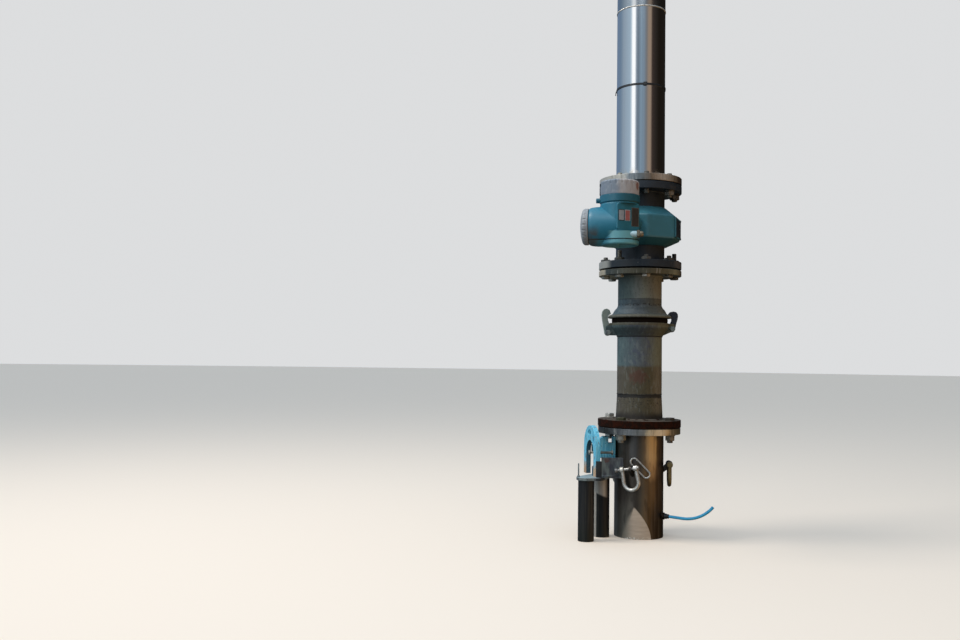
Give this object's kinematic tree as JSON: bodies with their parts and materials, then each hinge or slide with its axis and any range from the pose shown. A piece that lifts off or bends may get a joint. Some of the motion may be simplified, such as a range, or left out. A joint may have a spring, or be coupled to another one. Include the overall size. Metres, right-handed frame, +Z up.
{
  "type": "pump delivery column with flow meter",
  "caption": "Upright steel riser pipe from a pump basin, with bolted flanges, a latched quick coupling, a flow meter with converter head, guide tubes and lifting shackles.",
  "frame": {"origin": "under the middle of the object's box at the height of the waterline, where the lower pipe and the guide tubes end", "axes": "+Z up along the column; -Y is the side with the converter head, as the picture sees it, and +X the side with the plastic tube"},
  "size_m": [0.4806, 0.4678, 2.122],
  "materials": {
    "stainless": "bright drawn stainless pipe, mirror-like along its length",
    "wet_stainless": "dull stainless darkened by water, with tan bands and pale scale at the waterline",
    "stained_flange": "machined stainless flange with brown water stains",
    "rusty_flange_paint": "dark paint over rusted steel",
    "column_paint": "dark blue grey paint, matt, with brown stains",
    "meter_navy_paint": "satin near-black navy enamel",
    "teal_enamel": "satin blue-green enamel over castings",
    "grey_cover_paint": "matt grey enamel with a rust spot",
    "gland_brass": "nickelled brass, dull",
    "black_rubber": "matt",
    "black_plastic": "matt",
    "claw_blue_paint": "light blue enamel with rust at its edges",
    "bracket_steel": "dark grey weathered paint",
    "guide_tube_steel": "dark weathered stainless tube",
    "shackle_steel": "bright polished stainless, slightly dulled",
    "blue_nylon": "smooth plastic tube"
  },
  "bodies": {
    "column": {"lower_pipe": "wet_stainless", "lower_pipe_flange": "stained_flange", "deck_gasket": "black_rubber", "adaptor_flange": "rusty_flange_paint", "coupling_socket_pipe": "column_paint", "coupling_seal": "black_rubber", "coupling_spigot_pipe": "column_paint", "latch_left_pin": "bracket_steel", "latch_right_pin": "bracket_steel", "meter_counter_flange": "stained_flange", "meter_lower_gasket": "black_rubber", "meter_lower_flange": "meter_navy_paint", "meter_tube": "meter_navy_paint", "coil_housing": "teal_enamel", "service_cover_right": "teal_enamel", "service_cover_left": "teal_enamel", "meter_upper_flange": "meter_navy_paint", "meter_upper_gasket": "black_rubber", "converter_housing": "teal_enamel", "converter_top_cover": "grey_cover_paint", "converter_base_cover": "teal_enamel", "converter_end_cover": "grey_cover_paint", "cable_gland": "gland_brass", "converter_neck": "teal_enamel", "upper_pipe_flange": "stained_flange", "upper_pipe": "stainless", "delivery_pipe": "stainless", "delivery_flange": "stained_flange", "cable_tie": "black_plastic", "guide_tube_front": "guide_tube_steel", "guide_tube_back": "guide_tube_steel", "tube_bracket": "bracket_steel", "claw_arch": "claw_blue_paint", "claw_arm": "claw_blue_paint", "front_lug": "wet_stainless", "front_shackle_pin": "shackle_steel", "side_lug": "wet_stainless", "side_shackle_pin": "shackle_steel", "back_lug": "wet_stainless", "back_shackle_pin": "shackle_steel", "spare_link": "shackle_steel", "tap_boss": "wet_stainless", "push_in_fitting": "black_plastic", "blue_air_tube": "blue_nylon"},
    "front_shackle": {"front_shackle_bow": "shackle_steel"},
    "side_shackle": {"side_shackle_bow": "shackle_steel"},
    "back_shackle": {"back_shackle_bow": "shackle_steel"},
    "left_latch": {"latch_left": "column_paint"},
    "right_latch": {"latch_right": "column_paint"}
  },
  "joints": [
    {"name": "front_shackle_swing", "type": "hinge", "parent": "column", "child": "front_shackle", "pos_m": [-0.00058, -0.00046, 0.238], "axis": [-0.8695, 0.4623, -0.1736], "range_deg": [-4, 180]},
    {"name": "side_shackle_swing", "type": "hinge", "parent": "column", "child": "side_shackle", "pos_m": [0.15147, 0.07869, 0.248], "axis": [-0.1219, -0.9925, 0], "range_deg": [-8, 180]},
    {"name": "back_shackle_swing", "type": "hinge", "parent": "column", "child": "back_shackle", "pos_m": [-0.00375, 0.18143, 0.238], "axis": [0.866, 0.5, 0], "range_deg": [-8, 180]},
    {"name": "left_latch_turn", "type": "hinge", "parent": "column", "child": "left_latch", "pos_m": [-0.06375, 0.09137, 0.701], "axis": [0, -1, 0], "range_deg": [0, 95]},
    {"name": "right_latch_turn", "type": "hinge", "parent": "column", "child": "right_latch", "pos_m": [0.16025, 0.09137, 0.716], "axis": [0, 1, 0], "range_deg": [0, 95]}
  ]
}
